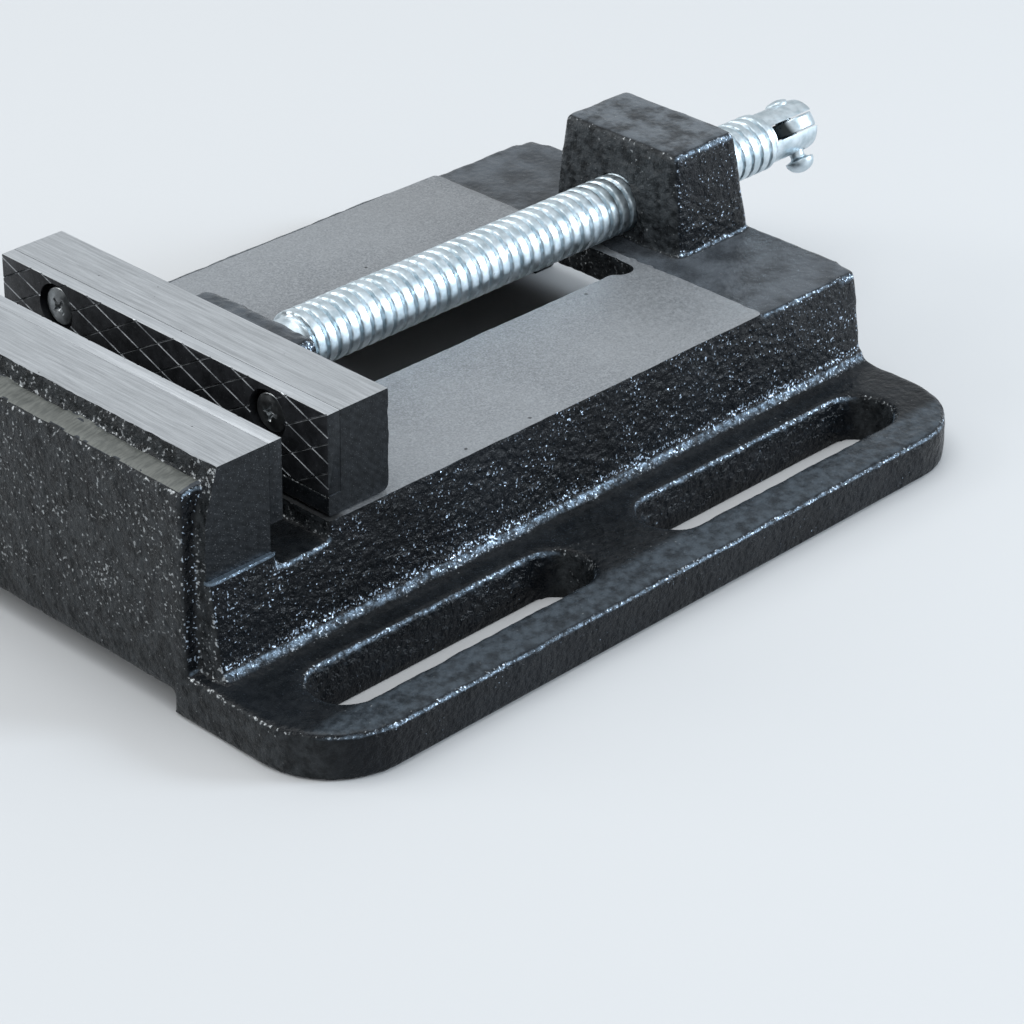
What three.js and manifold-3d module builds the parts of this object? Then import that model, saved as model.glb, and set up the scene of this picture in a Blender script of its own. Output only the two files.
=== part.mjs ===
// Drill press vise, 100 mm jaw class: a cast iron base with a fixed jaw and an integral nut block,
// a sliding jaw on ground ways, and a lead screw with a folding lever riveted in its forked end.
// Millimetres, +Z up. +X runs along the lead screw from the fixed jaw to the lever,
// z = 0 is the underside of the base, and the origin is the middle of the whole object's footprint.
import * as THREE from "three";
import { mergeVertices } from "three/addons/utils/BufferGeometryUtils.js";
import { RoundedBoxGeometry } from "three/addons/geometries/RoundedBoxGeometry.js";
import Module from "manifold-3d";

const wasm = await Module();
wasm.setup();

// ---- driving dimensions (mm) ----
const GAP = 0.3; // running clearance between neighbouring pieces

// base casting
const FRONT_X = -119.9; // front face of the fixed jaw panel and of the flange
const REAR_X = 78.6; // rear face of the side walls
const FLANGE_REAR_X = 79.2;
const FLANGE_HALF = 87.5; // half the overall width
const FLANGE_TOP = 10.5;
const FLANGE_CORNER = 19;
const WALL_FOOT_HALF = 53.9; // half width over the walls where the foot fillet starts
const FOOT_FILLET = 4;
const WAYS_HALF = 51.05; // half width over the ways
const WAYS_TOP = 32.7;
const WAYS_FRONT_X = -85.2;
const WAYS_REAR_X = 44.9;
const REAR_DECK_TOP = 32.3; // unmachined deck behind the ways
const TROUGH_TOP = 28.8; // relief between the fixed jaw and the ways
const SHOULDER_TOP = 31.5; // wall shoulder beside the fixed jaw
const DECK_UNDERSIDE = 25;
const CAVITY_FRONT_X = -109;
const CAVITY_REAR_X = 72.5;
const CAVITY_HALF_BOTTOM = 46.8;
const CAVITY_HALF_TOP = 44.4;
const ARCH_HALF = 43; // raised stretch of the end walls between the feet
const ARCH_HEIGHT = 5.5;

// guide slot between the ways
const GUIDE_HALF = 14.65;
const GUIDE_FRONT_X = -96;
const GUIDE_REAR_X = 42.6;
const GUIDE_REAR_CORNER = 3;
const GUIDE_END_X = 36.2; // the last bit of the slot is left as cast, a little wider
const GUIDE_END_HALF = 17;

// mounting slots in the flanges: outlines at the top, narrowing by SLOT_DRAFT towards the bottom
const SLOT_Y = 69.5;
const SLOT_TOP_HALF = 7.9;
const SLOT_DRAFT = 2.2;
const SLOT_SPANS = [
  [-106.7, -30.9],
  [-11.5, 66.5],
];

// fixed jaw
const JAW_HALF = 50.1;
const FIXED_TOP = 55.6;
const FIXED_NOSE_X = -113.1; // front edge of the jaw's top face
const FIXED_CORE_X = -116.7;
const FIXED_BACK_X = -99.8; // seat of the jaw plate
const PANEL_HALF = 47.3;
const PANEL_TOP = 51.2;

// jaw plates and their screws
const PLATE_T = 3.1;
const PLATE_H = 18;
const FIXED_PLATE_X = -99.5;
const MOVING_FACE_X = -84.3;
const SCREW_Y = 32.6;
const SCREW_DROP = 6.4; // below the top of the plate
const COUNTERBORE_R = 5.3;
const COUNTERBORE_DEPTH = 2.2;
const HEAD_R = 4.25;
const HEAD_RECESS = 1.0; // top of the head below the plate face
const SHANK_R = 2.3;
const TAPPED_R = 2.6;

// moving jaw
const MOVING_TOP = 55.8;
const MOVING_HALF = 50;
const MOVING_SEAT_X = -80.9;
const MOVING_REAR_X = -67.9;
const MOVING_BOTTOM = 33.0;
const HUB_REAR_X = -55.2;
const HUB_HALF = 17;
const HUB_TOP = 50.4;
const TONGUE_HALF = 14.2;
const TONGUE_X0 = -80;
const TONGUE_X1 = -57.5;
const TONGUE_BOTTOM = 25;

// keeper plate and its bolts
const KEEPER_HALF = 28;
const KEEPER_X0 = -82;
const KEEPER_X1 = -56;
const KEEPER_TOP = 24.7;
const KEEPER_T = 4.5;
const BOLT_XS = [-75, -62.8];
const BOLT_R = 3;
const BOLT_HEAD_AF = 10;
const BOLT_HEAD_H = 4;
const WASHER_R = 5.6;
const WASHER_T = 1.5;

// nut block, cast in one with the base
const NUT_X0 = 52.7;
const NUT_X1 = 78.0;
const NUT_TOP_X0 = 53.1;
const NUT_TOP_X1 = 74.0;
const NUT_HALF = 20.4;
const NUT_TOP_HALF = 16.95;
const NUT_TOP = 56.8;
const NUT_EDGE = 1.8;

// lead screw
const SCREW_Z = 40;
const THREAD_R = 7;
const THREAD_X0 = -47.7;
const THREAD_X1 = 102.4;
const NOSE_R = 5.8;
const NOSE_X0 = -64.9;
const GROOVE_X0 = -62.3;
const GROOVE_X1 = -59.3;
const GROOVE_R = 4.5;
const FORK_R = 6.2;
const FORK_X1 = 118.0;
const FORK_SLOT_X0 = 102.8;
const FORK_SLOT = 4.1;
const FORK_TILT = -0.6064; // turn of the fork about the screw axis at rest (rad)

// retaining pins across the nose groove, put in from below and kept in by the keeper plate
const PIN_R = 1.2;
const PIN_Y = GROOVE_R + GAP + PIN_R;
const PIN_Z0 = 25.3;
const PIN_Z1 = 48.4;

// lever and rivet
const PIVOT_X = 112.9;
const EYE_R = 7;
const TANG_T = 3.5;
const LEVER_R = 4.25;
const LEVER_KNOB_R = 5.4;
const LEVER_TIP = 62;
const RIVET_R = 2;
const RIVET_HOLE_R = 2.3;
const RIVET_HEAD_R = 3.5;
const RIVET_HEAD_Q = -8.2; // rim of the domed head along the rivet axis
const RIVET_PEEN_R = 2.65;

// ---- helpers ----
function solid(geometry) {
  const g = geometry.index ? geometry.toNonIndexed() : geometry.clone();
  const merged = mergeVertices(
    new THREE.BufferGeometry().setAttribute("position", g.getAttribute("position")),
    1e-4,
  );
  const tri = [];
  const ix = merged.index.array;
  for (let i = 0; i < ix.length; i += 3) {
    const [a, b, c] = [ix[i], ix[i + 1], ix[i + 2]];
    if (a !== b && b !== c && a !== c) tri.push(a, b, c);
  }
  return new wasm.Manifold(
    new wasm.Mesh({
      numProp: 3,
      vertProperties: merged.attributes.position.array,
      triVerts: new Uint32Array(tri),
    }),
  );
}
function geometryOf(s) {
  const m = s.getMesh();
  const v = new Float32Array(m.numVert * 3);
  for (let i = 0; i < m.numVert; i++)
    v.set(m.vertProperties.subarray(i * m.numProp, i * m.numProp + 3), i * 3);
  const g = new THREE.BufferGeometry();
  g.setAttribute("position", new THREE.BufferAttribute(v, 3));
  g.setIndex(new THREE.BufferAttribute(new Uint32Array(m.triVerts), 1));
  const flat = g.toNonIndexed();
  flat.computeVertexNormals();
  return flat;
}
const join = (...s) => s.reduce((a, b) => a.add(b));
const cut = (a, ...s) => s.reduce((x, y) => x.subtract(y), a);
const shapeOf = (pts) => new THREE.Shape(pts.map(([x, y]) => new THREE.Vector2(x, y)));
function arc(cx, cy, r, a0, a1, n) {
  const out = [];
  for (let i = 0; i <= n; i++) {
    const a = ((a0 + ((a1 - a0) * i) / n) * Math.PI) / 180;
    out.push([cx + r * Math.cos(a), cy + r * Math.sin(a)]);
  }
  return out;
}
const basis = (x, y, z) =>
  new THREE.Matrix4().makeBasis(
    new THREE.Vector3(...x),
    new THREE.Vector3(...y),
    new THREE.Vector3(...z),
  );
const extrude = (pts, depth, opts = {}) =>
  new THREE.ExtrudeGeometry(shapeOf(pts), { depth, bevelEnabled: false, steps: 1, ...opts });
// outline in X-Y, along +Z
const prismZ = (pts, z0, z1, opts) => solid(extrude(pts, z1 - z0, opts).translate(0, 0, z0));
// outline in Y-Z, along +X
const prismX = (pts, x0, x1) =>
  solid(
    extrude(pts, x1 - x0)
      .applyMatrix4(basis([0, 1, 0], [0, 0, 1], [1, 0, 0]))
      .translate(x0, 0, 0),
  );
// outline in X-Z, symmetric about the X-Z plane
const prismY = (pts, half, y = 0) =>
  solid(
    extrude(pts, 2 * half)
      .applyMatrix4(basis([1, 0, 0], [0, 0, 1], [0, -1, 0]))
      .translate(0, y + half, 0),
  );
const box = (x0, x1, y0, y1, z0, z1) =>
  solid(
    new THREE.BoxGeometry(x1 - x0, y1 - y0, z1 - z0).translate(
      (x0 + x1) / 2,
      (y0 + y1) / 2,
      (z0 + z1) / 2,
    ),
  );
// profile of [radius, along] pairs, turned about an axis
function turned(profile, n) {
  return new THREE.LatheGeometry(
    profile.map(([r, a]) => new THREE.Vector2(r, a)),
    n,
  );
}
const turnedX = (profile, n, y = 0, z = 0) =>
  solid(turned(profile, n).rotateZ(-Math.PI / 2).translate(0, y, z));
const turnedZ = (profile, n, x = 0, y = 0) =>
  solid(turned(profile, n).rotateX(Math.PI / 2).translate(x, y, 0));
const rod = (r, a0, a1) => [
  [0, a0],
  [r, a0],
  [r, a1],
  [0, a1],
];
function stadium(x0, x1, y, r, n = 10) {
  return [...arc(x1 - r, y, r, -90, 90, n), ...arc(x0 + r, y, r, 90, 270, n)];
}
function roundedRect(x0, x1, y0, y1, r, n = 6) {
  return [
    ...arc(x1 - r, y0 + r, r, -90, 0, n),
    ...arc(x1 - r, y1 - r, r, 0, 90, n),
    ...arc(x0 + r, y1 - r, r, 90, 180, n),
    ...arc(x0 + r, y0 + r, r, 180, 270, n),
  ];
}
// rounded box whose cross-section changes linearly from the bottom to the top
function draftedBlock(b, t, z0, z1, r, seg) {
  const w = b[1] - b[0],
    h = b[3] - b[2];
  const block = new RoundedBoxGeometry(w, h, z1 - z0, seg, r);
  const p = block.attributes.position;
  for (let i = 0; i < p.count; i++) {
    const k = p.getZ(i) / (z1 - z0) + 0.5;
    const x0 = b[0] + (t[0] - b[0]) * k,
      x1 = b[1] + (t[1] - b[1]) * k,
      y0 = b[2] + (t[2] - b[2]) * k,
      y1 = b[3] + (t[3] - b[3]) * k;
    p.setXYZ(
      i,
      (x0 + x1) / 2 + (p.getX(i) / w) * (x1 - x0),
      (y0 + y1) / 2 + (p.getY(i) / h) * (y1 - y0),
      p.getZ(i) + (z0 + z1) / 2,
    );
  }
  return solid(block);
}

// ---- materials ----
const enamel = () =>
  new THREE.MeshStandardMaterial({ color: 0x0b0d10, roughness: 0.25, metalness: 0 });
const ground = () =>
  new THREE.MeshStandardMaterial({ color: 0x7d8084, roughness: 0.5, metalness: 0.9 });
const zinc = () =>
  new THREE.MeshStandardMaterial({ color: 0xc9d3d6, roughness: 0.28, metalness: 1 });
const blackOxide = () =>
  new THREE.MeshStandardMaterial({ color: 0x2a2c30, roughness: 0.45, metalness: 0.8 });

const vise = new THREE.Group();
function add(parent, name, s, material) {
  const mesh = new THREE.Mesh(geometryOf(s), material);
  mesh.name = name;
  parent.add(mesh);
  return mesh;
}

// ---- base casting with fixed jaw and nut block ----
// flange plate, its top and bottom edges broken all round
const flangePlate = prismZ(
  roundedRect(
    FRONT_X + 1,
    FLANGE_REAR_X - 1,
    -FLANGE_HALF + 1,
    FLANGE_HALF - 1,
    FLANGE_CORNER - 1,
    10,
  ),
  1,
  FLANGE_TOP - 1,
  { bevelEnabled: true, bevelSize: 1, bevelThickness: 1, bevelSegments: 2, curveSegments: 4 },
);
const fillet = arc(
  WALL_FOOT_HALF + FOOT_FILLET,
  FLANGE_TOP + FOOT_FILLET,
  FOOT_FILLET,
  270,
  180,
  5,
);
const wallSection = [
  [0, 4],
  [WALL_FOOT_HALF + FOOT_FILLET, 4],
  ...fillet,
  [WAYS_HALF, WAYS_TOP],
  [0, WAYS_TOP],
];
const fullSection = [
  ...wallSection.slice(1, -1),
  ...wallSection
    .slice(1, -1)
    .reverse()
    .map(([y, z]) => [-y, z]),
];
const walls = prismX(fullSection, FIXED_CORE_X, REAR_X);
const fixedProfile = [
  [FIXED_CORE_X, 27],
  [FIXED_BACK_X, 27],
  [FIXED_BACK_X, FIXED_TOP],
  [FIXED_NOSE_X + 0.4, FIXED_TOP],
  [FIXED_NOSE_X, FIXED_TOP - 0.4],
  [-113.6, 53.4],
  [-114.8, 50.2],
  [-115.9, 46.6],
  [-116.5, 42.6],
  [FIXED_CORE_X, 38],
];
const panelProfile = [
  [FRONT_X, ARCH_HEIGHT],
  [-112, ARCH_HEIGHT],
  [-112, 51.9],
  [FIXED_NOSE_X, 51.9],
  [FRONT_X + 1.2, PANEL_TOP],
  [FRONT_X + 0.3, PANEL_TOP - 0.4],
  [FRONT_X, PANEL_TOP - 1.2],
];
const cavity = (() => {
  const s = [
    [-CAVITY_HALF_BOTTOM, -1],
    [CAVITY_HALF_BOTTOM, -1],
    [CAVITY_HALF_TOP, DECK_UNDERSIDE - 2.5],
    [CAVITY_HALF_TOP - 2.5, DECK_UNDERSIDE],
    [-CAVITY_HALF_TOP + 2.5, DECK_UNDERSIDE],
    [-CAVITY_HALF_TOP, DECK_UNDERSIDE - 2.5],
  ];
  return prismX(s, CAVITY_FRONT_X, CAVITY_REAR_X);
})();
const guideSlot = prismZ(
  [
    [GUIDE_FRONT_X, -GUIDE_HALF],
    ...arc(
      GUIDE_REAR_X - GUIDE_REAR_CORNER,
      -GUIDE_HALF + GUIDE_REAR_CORNER,
      GUIDE_REAR_CORNER,
      -90,
      0,
      6,
    ),
    ...arc(
      GUIDE_REAR_X - GUIDE_REAR_CORNER,
      GUIDE_HALF - GUIDE_REAR_CORNER,
      GUIDE_REAR_CORNER,
      0,
      90,
      6,
    ),
    [GUIDE_FRONT_X, GUIDE_HALF],
  ],
  DECK_UNDERSIDE - 4,
  WAYS_TOP + 2,
);
const guideEnd = prismZ(
  roundedRect(GUIDE_END_X, GUIDE_REAR_X, -GUIDE_END_HALF, GUIDE_END_HALF, GUIDE_REAR_CORNER),
  DECK_UNDERSIDE - 4,
  WAYS_TOP + 2,
);
const nutBlock = draftedBlock(
  [NUT_X0, NUT_X1, -NUT_HALF, NUT_HALF],
  [NUT_TOP_X0, NUT_TOP_X1, -NUT_TOP_HALF, NUT_TOP_HALF],
  WAYS_TOP - 5.2,
  NUT_TOP,
  NUT_EDGE,
  3,
);
const mountingSlots = SLOT_SPANS.flatMap(([x0, x1]) =>
  [-SLOT_Y, SLOT_Y].map((y) =>
    prismZ(
      stadium(x0 + SLOT_DRAFT, x1 - SLOT_DRAFT, y, SLOT_TOP_HALF - SLOT_DRAFT),
      FLANGE_TOP - 0.2,
      FLANGE_TOP + 0.3,
      {
        bevelEnabled: true,
        bevelSize: SLOT_DRAFT,
        bevelThickness: 11.2,
        bevelSegments: 1,
        curveSegments: 4,
      },
    ),
  ),
);
const tappedHole = (x0, x1, y, z) => turnedX(rod(TAPPED_R, x0, x1), 16, y, z);
const body = cut(
  join(
    flangePlate,
    cut(
      walls,
      box(FIXED_CORE_X - 1, FIXED_BACK_X, -60, 60, SHOULDER_TOP, 40),
      box(FIXED_BACK_X - 0.01, WAYS_FRONT_X, -60, 60, TROUGH_TOP, 40),
      box(WAYS_REAR_X, REAR_X + 1, -60, 60, REAR_DECK_TOP, 40),
    ),
    prismY(fixedProfile, JAW_HALF),
    prismY(panelProfile, PANEL_HALF),
    nutBlock,
  ),
  cavity,
  box(FRONT_X - 1, CAVITY_FRONT_X + 1, -ARCH_HALF, ARCH_HALF, -1, ARCH_HEIGHT),
  box(CAVITY_REAR_X - 1, FLANGE_REAR_X + 1, -ARCH_HALF, ARCH_HALF, -1, ARCH_HEIGHT),
  guideSlot,
  guideEnd,
  turnedX(rod(THREAD_R + GAP, NUT_X0 - 2, NUT_X1 + 2), 40, 0, SCREW_Z),
  ...mountingSlots,
  ...[-1, 1].map((s) =>
    tappedHole(FIXED_BACK_X - 10, FIXED_BACK_X + 1, s * SCREW_Y, FIXED_TOP - SCREW_DROP),
  ),
);
add(vise, "vise_body", body, enamel());

// ---- jaw plates ----
// a plate whose gripping face is at x = face; dir is the way the face looks along X
function jawPlate(name, face, dir, half, top) {
  const back = face - dir * PLATE_T;
  const [x0, x1] = [Math.min(face, back), Math.max(face, back)];
  const z = top - SCREW_DROP;
  const bore = (r, a, b, y) => turnedX(rod(r, Math.min(a, b), Math.max(a, b)), 28, y, z);
  add(
    vise,
    name,
    cut(
      box(x0, x1, -half, half, top - PLATE_H, top),
      ...[-1, 1].flatMap((s) => [
        bore(COUNTERBORE_R, face + dir, face - dir * COUNTERBORE_DEPTH, s * SCREW_Y),
        bore(SHANK_R + GAP, face + dir, back - dir, s * SCREW_Y),
      ]),
    ),
    blackOxide(),
  );
}
// pan head screw with a cross recess, seated in the plate's counterbore
function plateScrew(name, face, dir, y, z) {
  const top = face - dir * HEAD_RECESS;
  const seat = face - dir * (COUNTERBORE_DEPTH - 0.1);
  const end = seat - dir * 9;
  let profile = [
    [0, 0],
    [HEAD_R * 0.62, 0.04],
    [HEAD_R * 0.9, 0.25],
    [HEAD_R, 0.55],
    [HEAD_R, Math.abs(seat - top) - 0.15],
    [SHANK_R, Math.abs(seat - top) - 0.15],
    [SHANK_R, Math.abs(end - top) - 0.8],
    [SHANK_R - 0.8, Math.abs(end - top)],
    [0, Math.abs(end - top)],
  ];
  let g = turned(profile, 28).rotateZ(-Math.PI / 2); // along +X from the top of the head
  let s = solid(g);
  const arm = (a, b) => box(-0.5, 0.7, -a, a, -b, b);
  s = cut(s, arm(2.1, 0.42), arm(0.42, 2.1), box(-0.5, 0.75, -0.9, 0.9, -0.9, 0.9));
  let out = geometryOf(s);
  if (dir > 0) out = out.rotateY(Math.PI);
  out = out.rotateX(0.5).translate(top, y, z);
  const mesh = new THREE.Mesh(out, zinc());
  mesh.name = name;
  vise.add(mesh);
}
jawPlate("fixed_jaw_plate", FIXED_PLATE_X + PLATE_T, 1, JAW_HALF, FIXED_TOP);
jawPlate("moving_jaw_plate", MOVING_FACE_X, -1, MOVING_HALF, MOVING_TOP);
[
  ["near", -1],
  ["far", 1],
].forEach(([side, s]) => {
  plateScrew(
    "fixed_plate_screw_" + side,
    FIXED_PLATE_X + PLATE_T,
    1,
    s * SCREW_Y,
    FIXED_TOP - SCREW_DROP,
  );
  plateScrew(
    "moving_plate_screw_" + side,
    MOVING_FACE_X,
    -1,
    s * SCREW_Y,
    MOVING_TOP - SCREW_DROP,
  );
});

// ---- moving jaw ----
const jawProfile = [
  [MOVING_SEAT_X, MOVING_BOTTOM],
  [MOVING_REAR_X - 1, MOVING_BOTTOM],
  [MOVING_REAR_X, MOVING_BOTTOM + 1],
  [MOVING_REAR_X, MOVING_TOP - 0.4],
  [MOVING_REAR_X - 0.4, MOVING_TOP],
  [MOVING_SEAT_X, MOVING_TOP],
];
const movingJaw = cut(
  join(
    prismY(jawProfile, MOVING_HALF),
    prismY(
      [
        [MOVING_FACE_X + 0.6, MOVING_BOTTOM],
        [MOVING_SEAT_X + 1, MOVING_BOTTOM],
        [MOVING_SEAT_X + 1, MOVING_TOP - PLATE_H - GAP],
        [MOVING_FACE_X + 0.6, MOVING_TOP - PLATE_H - GAP],
      ],
      MOVING_HALF,
    ),
    draftedBlock(
      [MOVING_REAR_X - 6, HUB_REAR_X, -HUB_HALF - 1, HUB_HALF + 1],
      [MOVING_REAR_X - 6, HUB_REAR_X, -HUB_HALF, HUB_HALF],
      MOVING_BOTTOM - 4,
      HUB_TOP,
      3,
      3,
    ).intersect(box(MOVING_REAR_X - 5, HUB_REAR_X + 1, -30, 30, MOVING_BOTTOM, HUB_TOP + 1)),
    box(TONGUE_X0, TONGUE_X1, -TONGUE_HALF, TONGUE_HALF, TONGUE_BOTTOM, MOVING_BOTTOM + 1),
  ),
  turnedX(rod(NOSE_R + GAP, NOSE_X0 - GAP, HUB_REAR_X + 2), 32, 0, SCREW_Z),
  ...[-1, 1].flatMap((s) => [
    turnedZ(
      rod(PIN_R + GAP, TONGUE_BOTTOM - 2, PIN_Z1 + GAP),
      16,
      (GROOVE_X0 + GROOVE_X1) / 2,
      s * PIN_Y,
    ),
    turnedX(
      rod(TAPPED_R, MOVING_SEAT_X - 1, MOVING_SEAT_X + 9.2),
      16,
      s * SCREW_Y,
      MOVING_TOP - SCREW_DROP,
    ),
  ]),
  ...BOLT_XS.map((x) => turnedZ(rod(BOLT_R + GAP, TONGUE_BOTTOM - 2, TONGUE_BOTTOM + 6.8), 20, x, 0)),
);
add(vise, "moving_jaw", movingJaw, enamel());

// ---- keeper plate, bolts and spring washers under the ways ----
const keeperBottom = KEEPER_TOP - KEEPER_T;
add(
  vise,
  "keeper_plate",
  cut(
    prismZ(
      roundedRect(KEEPER_X0, KEEPER_X1, -KEEPER_HALF, KEEPER_HALF, 2, 3),
      keeperBottom,
      KEEPER_TOP,
    ),
    ...BOLT_XS.map((x) => turnedZ(rod(BOLT_R + GAP, keeperBottom - 1, KEEPER_TOP + 1), 20, x, 0)),
  ),
  blackOxide(),
);
const washerTop = keeperBottom - GAP;
const washerBottom = washerTop - WASHER_T;
const headTop = washerBottom - GAP;
BOLT_XS.forEach((x, i) => {
  const tag = i ? "rear" : "front";
  const ring = turnedZ(
    [
      [BOLT_R + GAP, washerBottom],
      [WASHER_R, washerBottom],
      [WASHER_R, washerTop],
      [BOLT_R + GAP, washerTop],
      [BOLT_R + GAP, washerBottom],
    ],
    24,
    x,
    0,
  );
  add(
    vise,
    "spring_washer_" + tag,
    cut(ring, box(x + 2.5, x + 7, -0.35, 0.35, washerBottom - 1, washerTop + 1)),
    zinc(),
  );
  const hex = prismZ(
    [0, 1, 2, 3, 4, 5].map((k) => {
      const a = ((30 + 60 * k) * Math.PI) / 180,
        r = BOLT_HEAD_AF / 2 / Math.cos(Math.PI / 6);
      return [x + r * Math.cos(a), r * Math.sin(a)];
    }),
    headTop - BOLT_HEAD_H,
    headTop,
  );
  add(
    vise,
    "keeper_bolt_" + tag,
    join(hex, turnedZ(rod(BOLT_R, headTop - 1, TONGUE_BOTTOM + 6.4), 24, x, 0)),
    zinc(),
  );
});

// ---- lead screw, rivet and folding lever: x along the screw, y along the lever, z along the rivet ----
const fork = new THREE.Group();
fork.position.set(0, 0, SCREW_Z);
fork.rotation.x = FORK_TILT;
vise.add(fork);

const screwProfile = [
  [0, NOSE_X0],
  [NOSE_R - 0.8, NOSE_X0],
  [NOSE_R, NOSE_X0 + 0.8],
  [NOSE_R, GROOVE_X0],
  [GROOVE_R, GROOVE_X0],
  [GROOVE_R, GROOVE_X1],
  [NOSE_R, GROOVE_X1],
  [NOSE_R, THREAD_X0],
  [THREAD_R, THREAD_X0 + 1.2],
  [THREAD_R, THREAD_X1 - 0.8],
  [FORK_R, THREAD_X1],
  [FORK_R, FORK_X1 - 0.7],
  [FORK_R - 0.7, FORK_X1],
  [0, FORK_X1],
];
add(
  fork,
  "lead_screw",
  cut(
    turnedX(screwProfile, 48),
    box(FORK_SLOT_X0, FORK_X1 + 1, -10, 10, -FORK_SLOT / 2, FORK_SLOT / 2),
    turnedZ(rod(RIVET_HOLE_R, -10, 10), 24, PIVOT_X, 0),
  ),
  zinc(),
);
const rivetProfile = [
  [0, RIVET_HEAD_Q - 2.2],
  [1.2, RIVET_HEAD_Q - 2.06],
  [2.3, RIVET_HEAD_Q - 1.6],
  [3.1, RIVET_HEAD_Q - 0.9],
  [RIVET_HEAD_R, RIVET_HEAD_Q],
  [RIVET_HEAD_R - 0.3, RIVET_HEAD_Q + 0.3],
  [RIVET_R, RIVET_HEAD_Q + 0.5],
  [RIVET_R, FORK_R + GAP],
  [RIVET_PEEN_R, FORK_R + GAP],
  [RIVET_PEEN_R - 0.5, FORK_R + 0.8],
  [1.2, FORK_R + 1.1],
  [0, FORK_R + 1.2],
];
add(
  fork,
  "lever_rivet",
  solid(turned(rivetProfile, 24).rotateX(Math.PI / 2).translate(PIVOT_X, 0, 0)),
  zinc(),
);
const leverRod = solid(
  turned(
    [
      [0, 8.6],
      [1.6, 8.6],
      [2.6, 9.6],
      [3.6, 11.4],
      [LEVER_R, 14],
      [LEVER_R, LEVER_TIP - 14],
      [4.7, LEVER_TIP - 11.6],
      [LEVER_KNOB_R, LEVER_TIP - 8.4],
      [LEVER_KNOB_R, LEVER_TIP - 3.6],
      [4.6, LEVER_TIP - 1.5],
      [2.8, LEVER_TIP - 0.3],
      [0, LEVER_TIP],
    ],
    28,
  ).translate(PIVOT_X, 0, 0),
);
const tang = join(
  prismZ(
    arc(PIVOT_X, 0, EYE_R, 0, 350, 35).slice(0, 36),
    -TANG_T / 2,
    TANG_T / 2,
  ),
  prismZ(
    [
      [PIVOT_X - EYE_R + 0.02, 0],
      [PIVOT_X + EYE_R - 0.02, 0],
      [PIVOT_X + EYE_R - 0.4, 8],
      [PIVOT_X + LEVER_R, 15],
      [PIVOT_X - LEVER_R, 15],
      [PIVOT_X - EYE_R + 0.4, 8],
    ],
    -TANG_T / 2,
    TANG_T / 2,
  ),
);
add(
  fork,
  "folding_lever",
  cut(join(tang, leverRod), turnedZ(rod(RIVET_HOLE_R, -10, 10), 24, PIVOT_X, 0)),
  zinc(),
);

// ---- retaining pins across the groove of the screw's nose ----
[
  ["near", -1],
  ["far", 1],
].forEach(([side, s]) =>
  add(
    vise,
    "retaining_pin_" + side,
    turnedZ(
      [
        [0, PIN_Z0],
        [PIN_R - 0.3, PIN_Z0],
        [PIN_R, PIN_Z0 + 0.3],
        [PIN_R, PIN_Z1 - 0.3],
        [PIN_R - 0.3, PIN_Z1],
        [0, PIN_Z1],
      ],
      20,
      (GROOVE_X0 + GROOVE_X1) / 2,
      s * PIN_Y,
    ),
    zinc(),
  ),
);

export default vise;
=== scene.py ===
import math

import bmesh
import bpy
import numpy as np
from mathutils import Matrix, Vector, noise


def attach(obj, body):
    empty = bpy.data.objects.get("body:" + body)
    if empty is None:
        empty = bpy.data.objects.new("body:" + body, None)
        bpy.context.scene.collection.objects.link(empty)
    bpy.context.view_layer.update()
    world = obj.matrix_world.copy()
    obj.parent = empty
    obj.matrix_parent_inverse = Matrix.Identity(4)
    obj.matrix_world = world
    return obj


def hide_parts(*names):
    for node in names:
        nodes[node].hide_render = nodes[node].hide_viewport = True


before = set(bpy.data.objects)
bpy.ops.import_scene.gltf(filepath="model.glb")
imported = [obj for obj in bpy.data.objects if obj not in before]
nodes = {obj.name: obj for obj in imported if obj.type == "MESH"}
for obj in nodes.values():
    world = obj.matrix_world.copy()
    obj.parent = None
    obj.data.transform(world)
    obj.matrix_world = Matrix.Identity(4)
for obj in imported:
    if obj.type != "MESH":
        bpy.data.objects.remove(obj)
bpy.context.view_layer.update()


MM = 0.001

# ---- camera first: the photograph's viewpoint ----
CAM_POS = Vector((-0.492178, -0.489901, 0.379849))
YAW, PITCH, ROLL = 0.763, math.radians(29.942), math.radians(0.950)
fwd = Vector((math.cos(YAW) * math.cos(PITCH), math.sin(YAW) * math.cos(PITCH), -math.sin(PITCH)))
right = fwd.cross(Vector((0, 0, 1))).normalized()
up = right.cross(fwd).normalized()
r2 = right * math.cos(ROLL) + up * math.sin(ROLL)
u2 = up * math.cos(ROLL) - right * math.sin(ROLL)
cam_data = bpy.data.cameras.new("camera")
cam_data.sensor_width = 36.0
cam_data.lens = 3516.73 / 1024 * 36.0
cam_data.clip_start = 0.01
cam_data.clip_end = 20.0
camera = bpy.data.objects.new("camera", cam_data)
m = Matrix((
    (r2.x, u2.x, -fwd.x, CAM_POS.x),
    (r2.y, u2.y, -fwd.y, CAM_POS.y),
    (r2.z, u2.z, -fwd.z, CAM_POS.z),
    (0, 0, 0, 1),
))
camera.matrix_world = m
bpy.context.scene.collection.objects.link(camera)
bpy.context.scene.camera = camera

# ---- node helpers ----


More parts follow.
